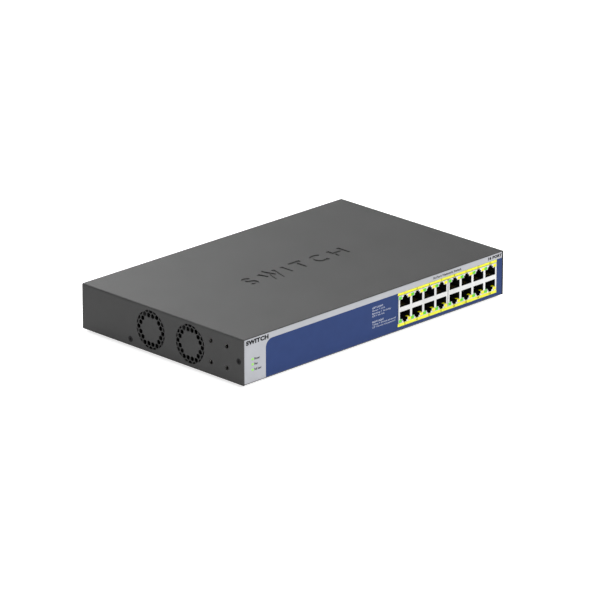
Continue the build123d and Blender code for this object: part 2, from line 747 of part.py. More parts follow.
board_screw = pan_screw(BOARD_SCREW_R, 2.7, 1.8, 5.0)
with BuildPart() as board_screws:
    with Locations(*[(x, y, BOARD_TOP_Z) for x, y in MAIN_HOLES + POWER_HOLES]):
        add(board_screw)
board_screws.part.label = "board_screws"
export_step(board_screws.part, "parts/board_screws.step")

# ---------------------------------------------------------------- main board components

SWITCH_CHIP_AT = (-20.0, -50.0)
SWITCH_CHIP_SIZE = 24.0
SWITCH_CHIP_H = 1.6
SINK_SIZE = 38.0
SINK_BASE_H = 3.0
SINK_FIN_H = 11.0
SINK_FINS = 10
SINK_FIN_T = 1.3

with BuildPart() as switch_chip:
    with BuildSketch(Plane.XY.offset(BOARD_TOP_Z)):
        with Locations(SWITCH_CHIP_AT):
            RectangleRounded(SWITCH_CHIP_SIZE, SWITCH_CHIP_SIZE, 0.8)
    extrude(amount=SWITCH_CHIP_H)
switch_chip.part.label = "switch_chip"
export_step(switch_chip.part, "parts/switch_chip.step")

with BuildPart() as switch_heatsink:
    with BuildSketch(Plane.XY.offset(BOARD_TOP_Z + SWITCH_CHIP_H)):
        with Locations(SWITCH_CHIP_AT):
            Rectangle(SINK_SIZE, SINK_SIZE)
    extrude(amount=SINK_BASE_H)
    with BuildSketch(Plane.XY.offset(BOARD_TOP_Z + SWITCH_CHIP_H + SINK_BASE_H)):
        with Locations(SWITCH_CHIP_AT):
            with GridLocations(1, (SINK_SIZE - SINK_FIN_T) / (SINK_FINS - 1), 1, SINK_FINS):
                Rectangle(SINK_SIZE, SINK_FIN_T)
    extrude(amount=SINK_FIN_H)
switch_heatsink.part.label = "switch_heatsink"
export_step(switch_heatsink.part, "parts/switch_heatsink.step")

with BuildPart() as phy_chips:
    with BuildSketch(Plane.XY.offset(BOARD_TOP_Z)):
        with Locations((60, -46), (124, -46)):
            RectangleRounded(14, 14, 0.6)
    extrude(amount=1.2)
phy_chips.part.label = "phy_chips"
export_step(phy_chips.part, "parts/phy_chips.step")

with BuildPart() as socket_power_chips:
    with BuildSketch(Plane.XY.offset(BOARD_TOP_Z)):
        with Locations((-66, -34), (-66, -56)):
            RectangleRounded(10, 10, 0.5)
    extrude(amount=1.0)
socket_power_chips.part.label = "socket_power_chips"
export_step(socket_power_chips.part, "parts/socket_power_chips.step")

with BuildPart() as lan_transformers:
    with BuildSketch(Plane.XY.offset(BOARD_TOP_Z)):
        with Locations(*[(x, -70) for block in JACK_BLOCK_X for x in jack_columns(block)]):
            RectangleRounded(12.5, 10, 0.5)
    extrude(amount=5.0)
    chamfer(lan_transformers.edges().group_by(Axis.Z)[-1], 0.4)
lan_transformers.part.label = "lan_transformers"
export_step(lan_transformers.part, "parts/lan_transformers.step")

with BuildPart() as board_capacitors:
    with BuildSketch(Plane.XY.offset(BOARD_TOP_Z)):
        with Locations(*[(x, -80) for x in range(-118, -40, 13)]):
            Circle(4.0)
    extrude(amount=12.0)
    fillet(board_capacitors.edges().filter_by(GeomType.CIRCLE).group_by(Axis.Z)[-1], 0.6)
board_capacitors.part.label = "board_capacitors"
export_step(board_capacitors.part, "parts/board_capacitors.step")

with BuildPart() as board_inductors:
    with BuildSketch(Plane.XY.offset(BOARD_TOP_Z)):
        with Locations((-104, -56), (-88, -56), (-104, -38)):
            RectangleRounded(12.5, 12.5, 2.0)
    extrude(amount=6.5)
    chamfer(board_inductors.edges().group_by(Axis.Z)[-1], 0.6)
board_inductors.part.label = "board_inductors"
export_step(board_inductors.part, "parts/board_inductors.step")

MAIN_DC_AT = (20.0, -20.0)
POWER_DC_AT = (20.0, 14.0)
MAINS_HEADER_AT = (-104.0, 50.0)
FAN_HEADERS_AT = ((-124.0, -50.0), (-124.0, -36.0))
HEADER_H = 8.0

with BuildPart() as wire_headers:
    with BuildSketch(Plane.XY.offset(BOARD_TOP_Z)):
        with Locations(MAIN_DC_AT, POWER_DC_AT):
            Rectangle(14, 7)
        with Locations(*FAN_HEADERS_AT):
            Rectangle(6, 8)
        with Locations(MAINS_HEADER_AT):
            Rectangle(7, 14)
    extrude(amount=HEADER_H)
wire_headers.part.label = "wire_headers"
export_step(wire_headers.part, "parts/wire_headers.step")

# ---------------------------------------------------------------- power supply components

CORE_AT = (0.0, 50.0)
CORE_W = 36.0
CORE_H = 28.0
CORE_D = 14.0
CORE_LEG = 10.0
CORE_WINDOW_W = 7.0
CORE_WINDOW_H = 18.0
WINDING_FIT = 0.2

with BuildPart() as transformer_core:
    with BuildSketch(front_plane(CORE_AT[1] - CORE_D / 2)):
        with Locations((CORE_AT[0], BOARD_TOP_Z + CORE_H / 2)):
            Rectangle(CORE_W, CORE_H)
            with GridLocations(CORE_LEG + CORE_WINDOW_W, 1, 2, 1):
                Rectangle(CORE_WINDOW_W, CORE_WINDOW_H, mode=Mode.SUBTRACT)
    extrude(amount=-CORE_D)
transformer_core.part.label = "transformer_core"
export_step(transformer_core.part, "parts/transformer_core.step")

with BuildPart() as transformer_winding:
    winding_h = CORE_WINDOW_H - 2 * WINDING_FIT
    with BuildSketch(Plane.XY.offset(BOARD_TOP_Z + (CORE_H - winding_h) / 2)):
        with Locations(CORE_AT):
            RectangleRounded(CORE_LEG + 2 * (CORE_WINDOW_W - WINDING_FIT), CORE_D + 14, 3)
            Rectangle(CORE_LEG + 2 * WINDING_FIT, CORE_D + 2 * WINDING_FIT, mode=Mode.SUBTRACT)
    extrude(amount=winding_h)
transformer_winding.part.label = "transformer_winding"
export_step(transformer_winding.part, "parts/transformer_winding.step")

with BuildPart() as bulk_capacitors:
    with BuildSketch(Plane.XY.offset(BOARD_TOP_Z)):
        with Locations((-46, 24), (-46, 45)):
            Circle(9.0)
    extrude(amount=29.0)
    fillet(bulk_capacitors.edges().filter_by(GeomType.CIRCLE).group_by(Axis.Z)[-1], 1.0)
bulk_capacitors.part.label = "bulk_capacitors"
export_step(bulk_capacitors.part, "parts/bulk_capacitors.step")

with BuildPart() as output_capacitors:
    with BuildSketch(Plane.XY.offset(BOARD_TOP_Z)):
        with Locations(*[(29, y) for y in (36, 48, 60, 72)]):
            Circle(5.0)
    extrude(amount=20.0)
    fillet(output_capacitors.edges().filter_by(GeomType.CIRCLE).group_by(Axis.Z)[-1], 0.8)
output_capacitors.part.label = "output_capacitors"
export_step(output_capacitors.part, "parts/output_capacitors.step")

POWER_SINK_H = 28.0
POWER_SINK_T = 3.0
POWER_SINK_FINS = 6
PRIMARY_SINK_W = 56.0
PRIMARY_SINK_AT = (-2.0, 82.0)
SECONDARY_SINK_W = 40.0
SECONDARY_SINK_AT = (-15.0, 17.5)

with BuildPart() as power_heatsinks:
    with BuildSketch(Plane.XY.offset(BOARD_TOP_Z)):
        for at, width, side in (
            (PRIMARY_SINK_AT, PRIMARY_SINK_W, 1),
            (SECONDARY_SINK_AT, SECONDARY_SINK_W, -1),
        ):
            with Locations(at):
                Rectangle(width, POWER_SINK_T)
            with Locations((at[0], at[1] + side * 4.0)):
                with GridLocations((width - 1.4) / (POWER_SINK_FINS - 1), 1, POWER_SINK_FINS, 1):
                    Rectangle(1.4, 6.0)
    extrude(amount=POWER_SINK_H)
power_heatsinks.part.label = "power_heatsinks"
export_step(power_heatsinks.part, "parts/power_heatsinks.step")

TRANSISTOR_T = 4.4

with BuildPart() as power_transistors:
    with BuildSketch(Plane.XY.offset(BOARD_TOP_Z + 5.0)):
        for at, side in ((PRIMARY_SINK_AT, -1), (SECONDARY_SINK_AT, 1)):
            offset_y = side * (POWER_SINK_T + TRANSISTOR_T) / 2
            with Locations((at[0] - 11, at[1] + offset_y), (at[0] + 11, at[1] + offset_y)):
                Rectangle(10, TRANSISTOR_T)
    extrude(amount=15.0)
power_transistors.part.label = "power_transistors"
export_step(power_transistors.part, "parts/power_transistors.step")

with BuildPart() as filter_choke:
    with Locations(Location((-84, 66, BOARD_TOP_Z + 12.0), (90, 0, 0))):
        Torus(7.5, 4.5)
filter_choke.part.label = "filter_choke"
export_step(filter_choke.part, "parts/filter_choke.step")

with BuildPart() as filter_capacitors:
    with BuildSketch(Plane.XY.offset(BOARD_TOP_Z)):
        with Locations((-85, 86)):
            RectangleRounded(26, 9, 0.8)
        with Locations((-85, 38)):
            RectangleRounded(18, 8, 0.8)
    extrude(amount=17.0)
filter_capacitors.part.label = "filter_capacitors"
export_step(filter_capacitors.part, "parts/filter_capacitors.step")

with BuildPart() as bridge_rectifier:
    with BuildSketch(front_plane(72)):
        with Locations((-56, BOARD_TOP_Z + 11)):
            Rectangle(22, 18)
            with Locations((0, 4)):
                Circle(1.7, mode=Mode.SUBTRACT)
    extrude(amount=4.0)
bridge_rectifier.part.label = "bridge_rectifier"
export_step(bridge_rectifier.part, "parts/bridge_rectifier.step")

with BuildPart() as mains_fuse:
    with BuildSketch(front_plane(14)):
        with Locations((-76, BOARD_TOP_Z + 3.4)):
            Circle(3.0)
    extrude(amount=-20.0)
mains_fuse.part.label = "mains_fuse"
export_step(mains_fuse.part, "parts/mains_fuse.step")

# ---------------------------------------------------------------- mains inlet

INLET_FACE_Y = PANEL_REAR_Y + 0.6
INLET_CORNER = 3.5
PIN_LENGTH = 14.5
PIN_TAIL = 7.5
PIN_SPOTS = ((-7.0, -2.0), (7.0, -2.0), (0.0, 2.0))
PIN_W = 2.0
PIN_H = 4.0


def inlet_profile(width, height, corner):
    """The inlet's outline: a rectangle with its two upper corners cut off, centred on the origin."""
    with BuildSketch() as profile:
        Rectangle(width, height)
        upper = profile.vertices().group_by(Axis.Y)[-1]
        chamfer(upper, corner)
    return profile.sketch


inlet_rim = inlet_profile(INLET_W, INLET_H, INLET_CORNER)
inlet_hole = inlet_profile(INLET_HOLE_W, INLET_HOLE_H, INLET_CORNER)
inlet_floor_y = INLET_FACE_Y - INLET_HOLE_DEPTH

with BuildPart() as ac_inlet_body:
    with BuildSketch(front_plane(INLET_FACE_Y)):
        with Locations((INLET_X, INLET_Z)):
            add(inlet_rim)
    extrude(amount=INLET_BODY_DEPTH)
    with BuildSketch(front_plane(PANEL_REAR_Y - SHEET)):
        with Locations((INLET_X, INLET_Z)):
            RectangleRounded(INLET_SCREW_PITCH + 8, INLET_H + 2, 3)
            with GridLocations(INLET_SCREW_PITCH, 1, 2, 1):
                Circle(BOARD_SCREW_R, mode=Mode.SUBTRACT)
    extrude(amount=INLET_FLANGE_T)
    with BuildSketch(front_plane(INLET_FACE_Y)):
        with Locations((INLET_X, INLET_Z)):
            add(inlet_hole)
    extrude(amount=INLET_HOLE_DEPTH, mode=Mode.SUBTRACT)
    with BuildSketch(front_plane(INLET_FACE_Y)):
        with Locations(*[(INLET_X + x, INLET_Z + z) for x, z in PIN_SPOTS]):
            Rectangle(PIN_W, PIN_H)
    extrude(amount=INLET_BODY_DEPTH + 1, mode=Mode.SUBTRACT)
ac_inlet_body.part.label = "ac_inlet_body"
export_step(ac_inlet_body.part, "parts/ac_inlet_body.step")

with BuildPart() as ac_inlet_pins:
    with BuildSketch(front_plane(inlet_floor_y + PIN_LENGTH)):
        with Locations(*[(INLET_X + x, INLET_Z + z) for x, z in PIN_SPOTS]):
            Rectangle(PIN_W, PIN_H)
    extrude(amount=PIN_LENGTH + PIN_TAIL + INLET_BODY_DEPTH - INLET_HOLE_DEPTH)
    chamfer(ac_inlet_pins.edges().group_by(Axis.Y)[-1], 0.5)
ac_inlet_pins.part.label = "ac_inlet_pins"
export_step(ac_inlet_pins.part, "parts/ac_inlet_pins.step")

inlet_screw = countersunk_screw(BOARD_SCREW_R, BOARD_HOLE_R + SHEET, SHEET, 6.0)
with BuildPart() as ac_inlet_screws:
    with Locations(*inlet_screw_planes):
        add(inlet_screw)
ac_inlet_screws.part.label = "ac_inlet_screws"
export_step(ac_inlet_screws.part, "parts/ac_inlet_screws.step")

# ---------------------------------------------------------------- fans

BRACKET_Y = (FAN_CENTRES_Y[0] - FAN_SIZE / 2 - 2, FAN_CENTRES_Y[1] + FAN_SIZE / 2 + 2)
BRACKET_TOP_Z = PANEL_TOP_Z - 0.6
WING_D = 16.0
WING_TOP_Z = FLOOR_Z + 34.0
BRACKET_FOOT_D = 8.0
fan_corner = FAN_SCREW_PITCH / 2
fan_screw_planes = [
    face_plane((BRACKET_X, y + dy, FAN_CENTRE_Z + dz), (-1, 0, 0))
    for y in FAN_CENTRES_Y
    for dy in (-fan_corner, fan_corner)
    for dz in (-fan_corner, fan_corner)
]

with BuildPart() as fan_bracket:
    with BuildSketch(side_plane(BRACKET_X)):
        with Locations((sum(BRACKET_Y) / 2, (FLOOR_Z + BRACKET_TOP_Z) / 2)):
            Rectangle(BRACKET_Y[1] - BRACKET_Y[0], BRACKET_TOP_Z - FLOOR_Z)
        with Locations(*[(y, FAN_CENTRE_Z) for y in FAN_CENTRES_Y]):
            Circle(FAN_BORE_R, mode=Mode.SUBTRACT)
    extrude(amount=SHEET)
    for wing_y, outward in ((BRACKET_Y[0] + SHEET / 2, -1), (BRACKET_Y[1] - SHEET / 2, 1)):
        with Locations((BRACKET_X + WING_D / 2, wing_y, (FLOOR_Z + WING_TOP_Z) / 2)):
            Box(WING_D, SHEET, WING_TOP_Z - FLOOR_Z)
        foot_y = wing_y + outward * (BRACKET_FOOT_D - SHEET) / 2
        with Locations((BRACKET_X + WING_D / 2 + 1, foot_y, FLOOR_Z + SHEET / 2)):
            Box(WING_D - 2, BRACKET_FOOT_D, SHEET)
    with Locations(*fan_screw_planes):
        CounterSinkHole(BOARD_HOLE_R, BOARD_HOLE_R + SHEET, depth=THROUGH, counter_sink_angle=90)
fan_bracket.part.label = "fan_bracket"
export_step(fan_bracket.part, "parts/fan_bracket.step")

fan_screw = countersunk_screw(BOARD_SCREW_R, BOARD_HOLE_R + SHEET, SHEET, 8.0)
with BuildPart() as fan_screws:
    with Locations(*fan_screw_planes):
        add(fan_screw)
fan_screws.part.label = "fan_screws"
export_step(fan_screws.part, "parts/fan_screws.step")

FAN_BASE_T = 2.0
FAN_BASE_R = 10.8
FAN_STRUTS = 4
FAN_STRUT_W = 3.0
TUBE_END = 15.0
TUBE_R = 3.2
SLEEVE_R = 2.6
CUP_START = 3.0
CUP_END = 17.0
CUP_WALL = 0.8
MAGNET_START = 4.0
MAGNET_END = 14.0
MAGNET_T = 1.2
STATOR_START = 5.0
STATOR_END = 12.0
STATOR_R = 8.2
STATOR_POLES = 4
POLE_W = 2.2
SHOE_T = 1.2
COIL_T = 1.2


def fan_plane(centre_y, depth=0.0):
    """A plane across one fan's axis, at a depth behind the fan's outer face."""
    return side_plane(FAN_X + depth, centre_y, FAN_CENTRE_Z)


def fan_frame(centre_y):
    """The square frame with its bore, motor base, struts and bearing tube."""
    with BuildPart() as frame:
        with BuildSketch(fan_plane(centre_y)):
            RectangleRounded(FAN_SIZE, FAN_SIZE, 2.5)
            Circle(FAN_BORE_R, mode=Mode.SUBTRACT)
            with GridLocations(FAN_SCREW_PITCH, FAN_SCREW_PITCH, 2, 2):
                Circle(BOARD_SCREW_R, mode=Mode.SUBTRACT)
        extrude(amount=FAN_DEPTH)
        with BuildSketch(fan_plane(centre_y)):
            Circle(FAN_BASE_R)
            with PolarLocations(FAN_BORE_R / 2, FAN_STRUTS, start_angle=45):
                Rectangle(FAN_BORE_R + 1, FAN_STRUT_W)
        extrude(amount=FAN_BASE_T)
        with BuildSketch(fan_plane(centre_y, FAN_BASE_T)):
            Circle(TUBE_R)
            Circle(SLEEVE_R, mode=Mode.SUBTRACT)
        extrude(amount=TUBE_END - FAN_BASE_T)
    return frame.part


def fan_rotor(centre_y):
    """The hub cup and its twisted blades."""
    with BuildPart() as rotor:
        with BuildSketch(fan_plane(centre_y, CUP_START)):
            Circle(FAN_HUB_R)
            Circle(FAN_HUB_R - CUP_WALL, mode=Mode.SUBTRACT)
        extrude(amount=CUP_END - CUP_START)
        with BuildSketch(fan_plane(centre_y, CUP_END - 1.0)):
            Circle(FAN_HUB_R)
            Circle(FAN_SHAFT_R, mode=Mode.SUBTRACT)
        extrude(amount=1.0)
        fillet(rotor.edges().filter_by(GeomType.CIRCLE).group_by(Axis.X)[-1].sort_by(SortBy.RADIUS)[-1], 0.6)
        for blade in range(FAN_BLADES):
            turn = radians(360 / FAN_BLADES * blade)
            for radius, half_w, half_d in (
                (FAN_HUB_R - CUP_WALL + 0.05, 3.4, 5.4),
                (FAN_TIP_R - 0.6, 5.0, 4.6),
            ):
                with BuildSketch(blade_plane(centre_y, turn, radius)):
                    with BuildLine():
                        ThreePointArc((-half_w, -half_d), (1.0, 0.2), (half_w, half_d))
                        ThreePointArc((-half_w, -half_d), (1.9, -0.5), (half_w, half_d))
                    make_face()
            loft()
    return rotor.part


def blade_plane(centre_y, turn, radius):
    """A plane square to a fan's radius, at the middle of the blades' depth."""
    middle_x = FAN_X + (CUP_START + CUP_END) / 2
    origin = (middle_x, centre_y + radius * cos(turn), FAN_CENTRE_Z + radius * sin(turn))
    return Plane(origin=origin, x_dir=(0, -sin(turn), cos(turn)), z_dir=(0, cos(turn), sin(turn)))


def fan_shaft(centre_y):
    """The steel shaft, from the bearing tube's foot to the hub's end wall."""
    with BuildPart() as shaft:
        with BuildSketch(fan_plane(centre_y, CUP_START)):
            Circle(FAN_SHAFT_R)
        extrude(amount=CUP_END - CUP_START)
    return shaft.part


def fan_magnet(centre_y):
    """The magnet ring bonded inside the hub."""
    outer_r = FAN_HUB_R - CUP_WALL
    with BuildPart() as magnet:
        with BuildSketch(fan_plane(centre_y, MAGNET_START)):
            Circle(outer_r)
            Circle(outer_r - MAGNET_T, mode=Mode.SUBTRACT)
        extrude(amount=MAGNET_END - MAGNET_START)
    return magnet.part


with BuildPart() as front_fan_frame:
    add(fan_frame(FAN_CENTRES_Y[0]))
front_fan_frame.part.label = "front_fan_frame"
export_step(front_fan_frame.part, "parts/front_fan_frame.step")

with BuildPart() as rear_fan_frame:
    add(fan_frame(FAN_CENTRES_Y[1]))
rear_fan_frame.part.label = "rear_fan_frame"
export_step(rear_fan_frame.part, "parts/rear_fan_frame.step")

with BuildPart() as front_fan_rotor:
    add(fan_rotor(FAN_CENTRES_Y[0]))
front_fan_rotor.part.label = "front_fan_rotor"
export_step(front_fan_rotor.part, "parts/front_fan_rotor.step")

with BuildPart() as rear_fan_rotor:
    add(fan_rotor(FAN_CENTRES_Y[1]))
rear_fan_rotor.part.label = "rear_fan_rotor"
export_step(rear_fan_rotor.part, "parts/rear_fan_rotor.step")

with BuildPart() as front_fan_shaft:
    add(fan_shaft(FAN_CENTRES_Y[0]))
front_fan_shaft.part.label = "front_fan_shaft"
export_step(front_fan_shaft.part, "parts/front_fan_shaft.step")

with BuildPart() as rear_fan_shaft:
    add(fan_shaft(FAN_CENTRES_Y[1]))
rear_fan_shaft.part.label = "rear_fan_shaft"
export_step(rear_fan_shaft.part, "parts/rear_fan_shaft.step")

with BuildPart() as front_fan_magnet:
    add(fan_magnet(FAN_CENTRES_Y[0]))
front_fan_magnet.part.label = "front_fan_magnet"
export_step(front_fan_magnet.part, "parts/front_fan_magnet.step")

with BuildPart() as rear_fan_magnet:
    add(fan_magnet(FAN_CENTRES_Y[1]))
rear_fan_magnet.part.label = "rear_fan_magnet"
export_step(rear_fan_magnet.part, "parts/rear_fan_magnet.step")

with BuildPart() as fan_bearings:
    for y in FAN_CENTRES_Y:
        with BuildSketch(fan_plane(y, FAN_BASE_T + 0.5)):
            Circle(SLEEVE_R)
            Circle(FAN_SHAFT_R + FAN_RUNNING_FIT, mode=Mode.SUBTRACT)
        extrude(amount=TUBE_END - FAN_BASE_T - 1.0)
fan_bearings.part.label = "fan_bearings"
export_step(fan_bearings.part, "parts/fan_bearings.step")

with BuildPart() as fan_stators:
    for y in FAN_CENTRES_Y:
        with BuildSketch(fan_plane(y, STATOR_START)):
            Circle(STATOR_R)
            Circle(STATOR_R - SHOE_T, mode=Mode.SUBTRACT)
            with PolarLocations(STATOR_R, STATOR_POLES, start_angle=45):
                Rectangle(5.0, 2.6, mode=Mode.SUBTRACT)
            with PolarLocations((TUBE_R + STATOR_R - SHOE_T) / 2, STATOR_POLES):
                Rectangle(STATOR_R - SHOE_T - TUBE_R + 0.6, POLE_W)
            Circle(TUBE_R + 1.2)
            Circle(TUBE_R, mode=Mode.SUBTRACT)
        extrude(amount=STATOR_END - STATOR_START)
fan_stators.part.label = "fan_stators"
export_step(fan_stators.part, "parts/fan_stators.step")

COIL_INNER_R = TUBE_R + 1.5
COIL_OUTER_R = STATOR_R - SHOE_T - 0.5

with BuildPart() as fan_windings:
    for y in FAN_CENTRES_Y:
        with BuildSketch(fan_plane(y, STATOR_START - COIL_T)):
            with PolarLocations((COIL_INNER_R + COIL_OUTER_R) / 2, STATOR_POLES):
                Rectangle(COIL_OUTER_R - COIL_INNER_R, POLE_W + 2 * COIL_T)
        extrude(amount=STATOR_END - STATOR_START + 2 * COIL_T)
        with BuildSketch(fan_plane(y, STATOR_START)):
            with PolarLocations((COIL_INNER_R + COIL_OUTER_R) / 2, STATOR_POLES):
                Rectangle(COIL_OUTER_R - COIL_INNER_R + 0.4, POLE_W)
        extrude(amount=STATOR_END - STATOR_START, mode=Mode.SUBTRACT)
fan_windings.part.label = "fan_windings"
export_step(fan_windings.part, "parts/fan_windings.step")

# ---------------------------------------------------------------- wiring

WIRE_R = 0.7
MAINS_WIRE_R = 1.0
header_top_z = BOARD_TOP_Z + HEADER_H
pin_end_y = inlet_floor_y - (INLET_BODY_DEPTH - INLET_HOLE_DEPTH) - PIN_TAIL


def wire(points, wire_r, bend_r):
    """One insulated wire along straight runs joined by bends."""
    with BuildPart() as run:
        with BuildLine() as route:
            FilletPolyline(*points, radius=bend_r)
        with BuildSketch(Plane(route.line @ 0, z_dir=route.line % 0)):
            Circle(wire_r)
        sweep()
    return run.part


live, neutral, earth = [(INLET_X + x, pin_end_y, INLET_Z + z) for x, z in PIN_SPOTS]
mains_x, mains_y = MAINS_HEADER_AT
live_run = (
    live,
    (live[0], 66, live[2]),
    (-120, 50, 26),
    (mains_x, mains_y - 4, 26),
    (mains_x, mains_y - 4, header_top_z),
)
neutral_run = (
    neutral,
    (neutral[0], 68, neutral[2]),
    (-116, 57, 24),
    (mains_x, mains_y + 4, 24),
    (mains_x, mains_y + 4, header_top_z),
)
earth_run = (
    earth,
    (earth[0], 69, earth[2]),
    (earth[0], 63, 9),
    (earth[0], 58, 9),
    (earth[0], 58, FLOOR_Z),
)
mains_runs = (live_run, neutral_run, earth_run)
mains_bends = (4.0, 3.0, 1.8)

with BuildPart() as mains_wires:
    for run, bend in zip(mains_runs, mains_bends):
        add(wire(run, MAINS_WIRE_R, bend))
mains_wires.part.label = "mains_wires"
export_step(mains_wires.part, "parts/mains_wires.step")

DC_WIRES = 4
DC_WIRE_PITCH = 3.2

with BuildPart() as dc_wires:
    for i in range(DC_WIRES):
        x = MAIN_DC_AT[0] + (i - (DC_WIRES - 1) / 2) * DC_WIRE_PITCH
        middle_y = (MAIN_DC_AT[1] + POWER_DC_AT[1]) / 2
        add(
            wire(
                (
                    (x, POWER_DC_AT[1], header_top_z),
                    (x, POWER_DC_AT[1], header_top_z + 8),
                    (x, middle_y, header_top_z + 12),
                    (x, MAIN_DC_AT[1], header_top_z + 8),
                    (x, MAIN_DC_AT[1], header_top_z),
                ),
                WIRE_R,
                4.0,
            )
        )
dc_wires.part.label = "dc_wires"
export_step(dc_wires.part, "parts/dc_wires.step")

LEAD_PITCH = 2.4
fan_exit_x = FAN_X + FAN_DEPTH
fan_exit_z = 14.0
lead_top_z = header_top_z + 6.0

with BuildPart() as fan_leads:
    for shift in (-LEAD_PITCH / 2, LEAD_PITCH / 2):
        near_x, near_y = FAN_HEADERS_AT[0]
        far_x, far_y = FAN_HEADERS_AT[1]
        near_exit_y = FAN_CENTRES_Y[0] - fan_corner + 2 + shift
        far_exit_y = FAN_CENTRES_Y[1] - fan_corner + 2 + shift
        add(
            wire(
                (
                    (fan_exit_x, near_exit_y, fan_exit_z),
                    (fan_exit_x + 8, near_exit_y, fan_exit_z),
                    (near_x - 5, near_y + shift, lead_top_z),
                    (near_x, near_y + shift, lead_top_z),
                    (near_x, near_y + shift, header_top_z),
                ),
                WIRE_R,
                1.5,
            )
        )
        add(
            wire(
                (
                    (fan_exit_x, far_exit_y, fan_exit_z),
                    (fan_exit_x + 8 + shift, far_exit_y, fan_exit_z),
                    (far_x - 3 + shift, far_y + 12, lead_top_z),
                    (far_x + shift, far_y, lead_top_z + 2),
                    (far_x + shift, far_y, header_top_z),
                ),
                WIRE_R,
                1.5,
            )
        )
fan_leads.part.label = "fan_leads"
export_step(fan_leads.part, "parts/fan_leads.step")
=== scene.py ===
"""The looks of a desktop network switch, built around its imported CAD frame."""

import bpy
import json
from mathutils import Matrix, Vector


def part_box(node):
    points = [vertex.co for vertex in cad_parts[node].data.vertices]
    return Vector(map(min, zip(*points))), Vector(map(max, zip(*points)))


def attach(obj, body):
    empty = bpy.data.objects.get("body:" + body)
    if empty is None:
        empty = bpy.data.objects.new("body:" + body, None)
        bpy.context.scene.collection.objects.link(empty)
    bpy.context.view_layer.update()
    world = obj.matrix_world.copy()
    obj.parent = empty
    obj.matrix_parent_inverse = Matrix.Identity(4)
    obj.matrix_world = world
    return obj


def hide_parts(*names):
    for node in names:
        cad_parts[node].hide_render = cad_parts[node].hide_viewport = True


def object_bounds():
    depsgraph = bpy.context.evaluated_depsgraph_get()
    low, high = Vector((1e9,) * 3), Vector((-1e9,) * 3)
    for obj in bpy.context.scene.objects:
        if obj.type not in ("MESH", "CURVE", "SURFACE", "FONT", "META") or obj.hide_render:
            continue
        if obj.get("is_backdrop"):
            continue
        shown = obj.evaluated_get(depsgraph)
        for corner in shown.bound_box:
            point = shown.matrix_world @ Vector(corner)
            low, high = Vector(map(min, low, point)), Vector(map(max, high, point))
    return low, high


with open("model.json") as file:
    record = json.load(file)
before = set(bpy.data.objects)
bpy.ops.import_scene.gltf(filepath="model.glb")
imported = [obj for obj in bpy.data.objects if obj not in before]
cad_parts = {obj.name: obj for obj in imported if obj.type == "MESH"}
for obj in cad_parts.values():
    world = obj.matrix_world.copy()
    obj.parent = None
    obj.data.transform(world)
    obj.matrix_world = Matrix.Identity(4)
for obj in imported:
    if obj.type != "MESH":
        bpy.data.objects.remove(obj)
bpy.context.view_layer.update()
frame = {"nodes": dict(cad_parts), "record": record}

import json
from math import cos, radians, sin

import bmesh
import bpy
from mathutils import Vector

NODES = frame["nodes"]
BODY_OF = {node: body for body, nodes in frame["record"]["behaviour"]["bodies"].items() for node in nodes}
MM = 0.001

COVER_LOW, COVER_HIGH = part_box("top_cover")
LABEL_LOW, LABEL_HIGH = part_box("front_label")
STATUS_LOW, STATUS_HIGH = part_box("status_leds")
WINDOW_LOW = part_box("rj45_shield_left")[0]
WINDOW_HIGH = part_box("rj45_shield_right")[1]


# ---------------------------------------------------------------- material helpers

NOISE_LOW, NOISE_HIGH = 0.3, 0.7  # nearly all of a noise lies between these
PATCH_LOW, PATCH_HIGH = 0.35, 0.65
EVEN = (1.0, 1.0, 1.0)


def new_material(name):
    """An empty Principled material: the material, its node tree and its shader node."""
    material = bpy.data.materials.new(name)
    material.use_nodes = True
    tree = material.node_tree
    return material, tree, tree.nodes["Principled BSDF"]


def noise(tree, scale, detail=3.0, roughness=0.5, stretch=EVEN):
    """A noise in object space, its scale in features per metre."""
    coordinates = tree.nodes.new("ShaderNodeTexCoord")
    mapping = tree.nodes.new("ShaderNodeMapping")
    mapping.inputs["Scale"].default_value = stretch
    texture = tree.nodes.new("ShaderNodeTexNoise")
    texture.inputs["Scale"].default_value = scale
    texture.inputs["Detail"].default_value = detail
    texture.inputs["Roughness"].default_value = roughness
    tree.links.new(coordinates.outputs["Object"], mapping.inputs["Vector"])
    tree.links.new(mapping.outputs["Vector"], texture.inputs["Vector"])
    return texture.outputs["Fac"]


def ramp(tree, value, stops):
    """A colour ramp over value, with stops of (position, colour)."""
    node = tree.nodes.new("ShaderNodeValToRGB")
    points = node.color_ramp.elements
    while len(points) < len(stops):
        points.new(0.5)
    for point, (position, colour) in zip(points, stops):
        point.position = position
        point.color = (*colour, 1.0)
    tree.links.new(value, node.inputs["Fac"])
    return node.outputs["Color"]


def spread(tree, value, low, high):
    """Maps a noise, which stays near its middle, onto low to high."""
    node = tree.nodes.new("ShaderNodeMapRange")
    node.inputs["From Min"].default_value = NOISE_LOW
    node.inputs["From Max"].default_value = NOISE_HIGH
    node.inputs["To Min"].default_value = low
    node.inputs["To Max"].default_value = high
    tree.links.new(value, node.inputs["Value"])
    return node.outputs["Result"]


def tinted(colour, factor):
    """A colour made lighter or darker."""
    return tuple(min(1.0, c * factor) for c in colour)


def add_bump(tree, shader, height, strength, distance):
    """Raises the surface by a height value, distance in metres."""
    node = tree.nodes.new("ShaderNodeBump")
    node.inputs["Strength"].default_value = strength
    node.inputs["Distance"].default_value = distance
    tree.links.new(height, node.inputs["Height"])
    tree.links.new(node.outputs["Normal"], shader.inputs["Normal"])


